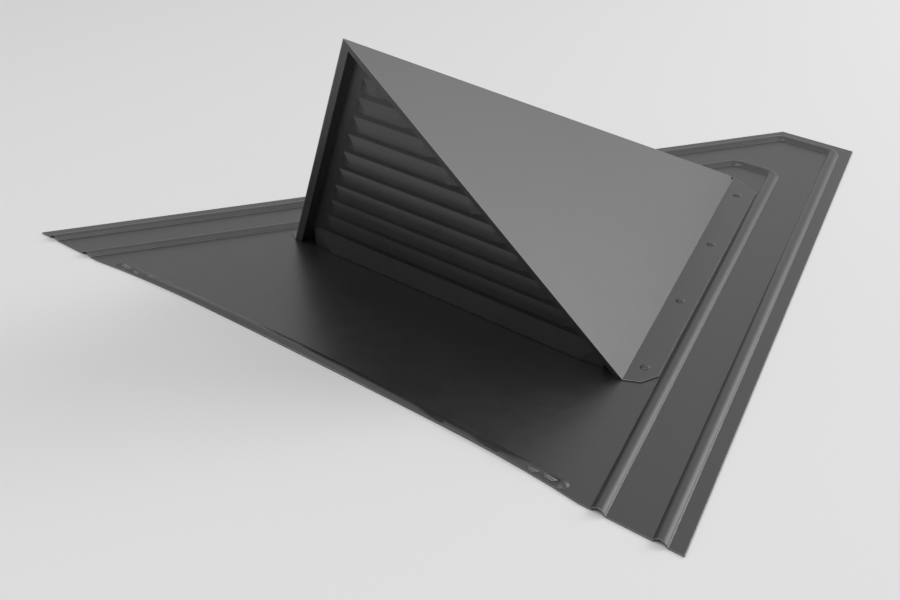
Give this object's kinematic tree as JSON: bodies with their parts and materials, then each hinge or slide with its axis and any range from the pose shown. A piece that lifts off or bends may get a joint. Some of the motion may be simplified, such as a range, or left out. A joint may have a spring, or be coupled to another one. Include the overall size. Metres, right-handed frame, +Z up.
{
  "type": "roof vent",
  "caption": "Triangular zinc roof vent: a ridged hood with a louvred front on a flat tapering base plate with raised edge beads.",
  "frame": {"origin": "centre of the footprint on the underside of the base plate", "axes": "+X across the roof, -Y towards the louvred opening at the low end of the slope, +Z up from the plate"},
  "size_m": [0.6, 0.577, 0.2041],
  "materials": {
    "plate_zinc": "satin",
    "hood_zinc": "satin",
    "panel_zinc": "satin",
    "rivet_zinc": "satin"
  },
  "bodies": {
    "root": {"base_plate": "plate_zinc", "hood": "hood_zinc", "louvre_panel": "panel_zinc", "rivets": "rivet_zinc"}
  },
  "joints": []
}
